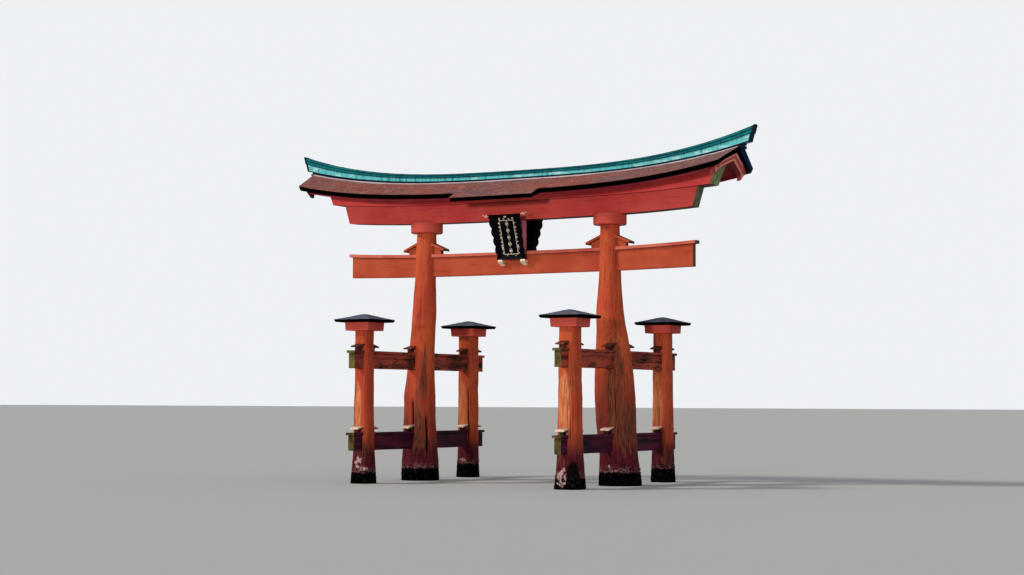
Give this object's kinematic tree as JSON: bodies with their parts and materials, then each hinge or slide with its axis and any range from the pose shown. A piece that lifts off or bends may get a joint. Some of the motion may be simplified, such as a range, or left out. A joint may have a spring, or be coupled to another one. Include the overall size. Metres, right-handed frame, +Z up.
{
  "type": "torii gate",
  "caption": "Large timber torii gate for shallow water, with natural-trunk pillars, side posts, tie beams, plaques, a curved bark roof and a copper ridge.",
  "frame": {"origin": "middle of the gate on the level plane its feet stand on", "axes": "+X along the gate, -Y towards the front, +Z up"},
  "size_m": [24.8018, 11.7, 16.2478],
  "materials": {
    "vermilion_trunk": "weathered paint",
    "vermilion_timber": "weathered paint",
    "worn_red_timber": "weathered paint",
    "wet_dark_timber": "wet",
    "deep_red_timber": "painted",
    "pink_boards": "faded paint",
    "grey_roof_boards": "weathered",
    "bark": "rough",
    "green_copper": "patina",
    "dark_lacquer": "lacquer",
    "gilt_metal": "gilt"
  },
  "bodies": {
    "root": {"barge_boards_left": "pink_boards", "barge_boards_right": "pink_boards", "bark_roof_front": "bark", "bark_roof_rear": "bark", "centre_strut": "pink_boards", "eave_board_front": "deep_red_timber", "eave_board_rear": "deep_red_timber", "front_plaque_frame": "dark_lacquer", "front_plaque_panel": "dark_lacquer", "lower_lintel": "deep_red_timber", "lower_side_canopies": "wet_dark_timber", "lower_side_tie_caps": "wet_dark_timber", "lower_side_tie_left": "wet_dark_timber", "lower_side_tie_right": "wet_dark_timber", "lower_side_wedges": "wet_dark_timber", "main_pillar_left": "vermilion_trunk", "main_pillar_right": "vermilion_trunk", "main_tie": "vermilion_timber", "main_tie_canopies": "vermilion_timber", "main_tie_cap": "vermilion_timber", "main_tie_wedges": "vermilion_timber", "pillar_capital_left": "vermilion_trunk", "pillar_capital_right": "vermilion_trunk", "plaque_feet": "gilt_metal", "plaque_stays": "worn_red_timber", "post_blocks": "worn_red_timber", "post_roofs": "grey_roof_boards", "rear_plaque_frame": "dark_lacquer", "rear_plaque_panel": "dark_lacquer", "ridge_base": "green_copper", "ridge_body": "green_copper", "ridge_cap": "green_copper", "ridge_neck": "green_copper", "roof_deck_front": "deep_red_timber", "roof_deck_rear": "deep_red_timber", "side_post_front_left": "worn_red_timber", "side_post_front_right": "worn_red_timber", "side_post_rear_left": "worn_red_timber", "side_post_rear_right": "worn_red_timber", "upper_lintel": "deep_red_timber", "upper_side_canopies": "worn_red_timber", "upper_side_tie_caps": "worn_red_timber", "upper_side_tie_left": "worn_red_timber", "upper_side_tie_right": "worn_red_timber", "upper_side_wedges": "worn_red_timber"}
  },
  "joints": []
}
